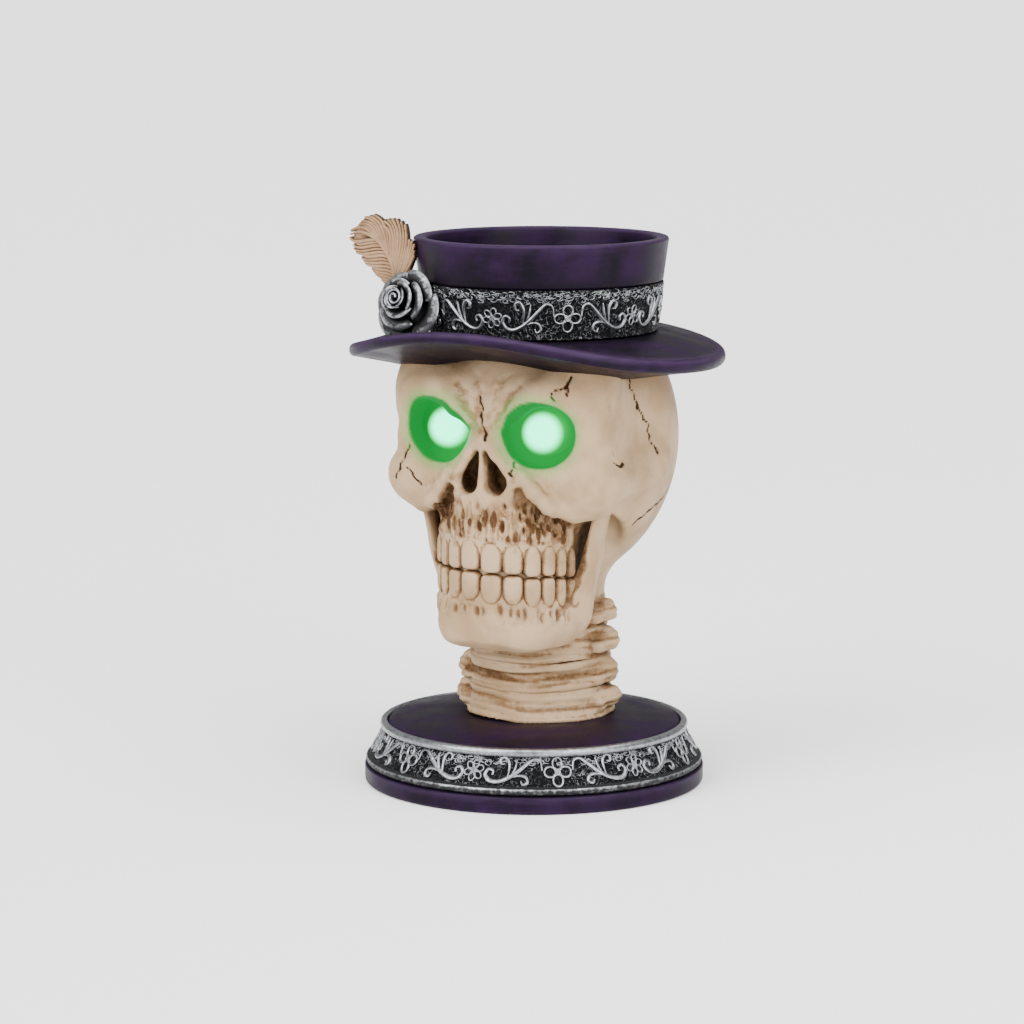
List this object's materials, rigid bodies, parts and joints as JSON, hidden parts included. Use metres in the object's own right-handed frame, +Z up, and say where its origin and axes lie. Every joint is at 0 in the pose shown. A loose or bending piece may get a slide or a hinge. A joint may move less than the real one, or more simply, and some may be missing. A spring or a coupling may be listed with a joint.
{
  "type": "halloween skull decoration",
  "caption": "Cast skull figure in an open-topped hat, on a neck and a round stepped base, with battery-lit eyes.",
  "frame": {"origin": "middle of the flat underside of the base", "axes": "+Z up, the face looks along -Y, +X is the skull's own left"},
  "size_m": [0.1096, 0.1096, 0.1678],
  "materials": {
    "bone_paint": "cream paint with brown antique wash on cast resin, satin",
    "purple_paint": "aubergine paint on cast resin, satin",
    "silver_relief": "black ground with relief brushed in silver paint, cast resin",
    "silver_paint": "silver paint with dark wash on cast resin",
    "tan_paint": "tan paint with brown wash on cast resin",
    "lit_lens": "milky green dome, lit from behind",
    "led_epoxy": "clear green epoxy",
    "black_plastic": "moulded black plastic",
    "lead_sleeve": "black soft plastic insulation",
    "bright_steel": "nickel-plated steel"
  },
  "bodies": {
    "figure": {"plinth": "purple_paint", "frieze_ring": "silver_relief", "deck": "purple_paint", "vertebra_1": "bone_paint", "vertebra_2": "bone_paint", "vertebra_3": "bone_paint", "vertebra_4": "bone_paint", "cranium": "bone_paint", "mandible": "bone_paint", "hat_brim": "purple_paint", "hat_crown": "purple_paint", "hat_band": "silver_relief", "rose": "silver_paint", "feather": "tan_paint", "eye_lens_left": "lit_lens", "eye_lens_right": "lit_lens", "led_left": "led_epoxy", "led_right": "led_epoxy", "led_holder_left": "black_plastic", "led_holder_right": "black_plastic", "led_lead_left": "lead_sleeve", "led_lead_right": "lead_sleeve", "power_lead": "lead_sleeve", "battery_box": "black_plastic", "coin_cell_lower": "bright_steel", "coin_cell_upper": "bright_steel", "contact_spring": "bright_steel", "contact_side": "bright_steel", "switch_body": "black_plastic"},
    "battery_door": {"battery_door": "black_plastic"},
    "door_screw": {"door_screw": "bright_steel"},
    "switch_slider": {"switch_slider": "black_plastic"}
  },
  "joints": [
    {"name": "door_hinge", "type": "hinge", "parent": "figure", "child": "battery_door", "pos_m": [0, 0.0355, 0.0003], "axis": [1, 0, 0], "range_deg": [0, 75]},
    {"name": "door_screw_turn", "type": "hinge", "parent": "battery_door", "child": "door_screw", "pos_m": [0, 0.0079, 0.0003], "axis": [0, 0, 1], "continuous": true},
    {"name": "switch_slide", "type": "slide", "parent": "figure", "child": "switch_slider", "axis": [1, 0, 0], "range_m": [0, 0.0034]}
  ]
}
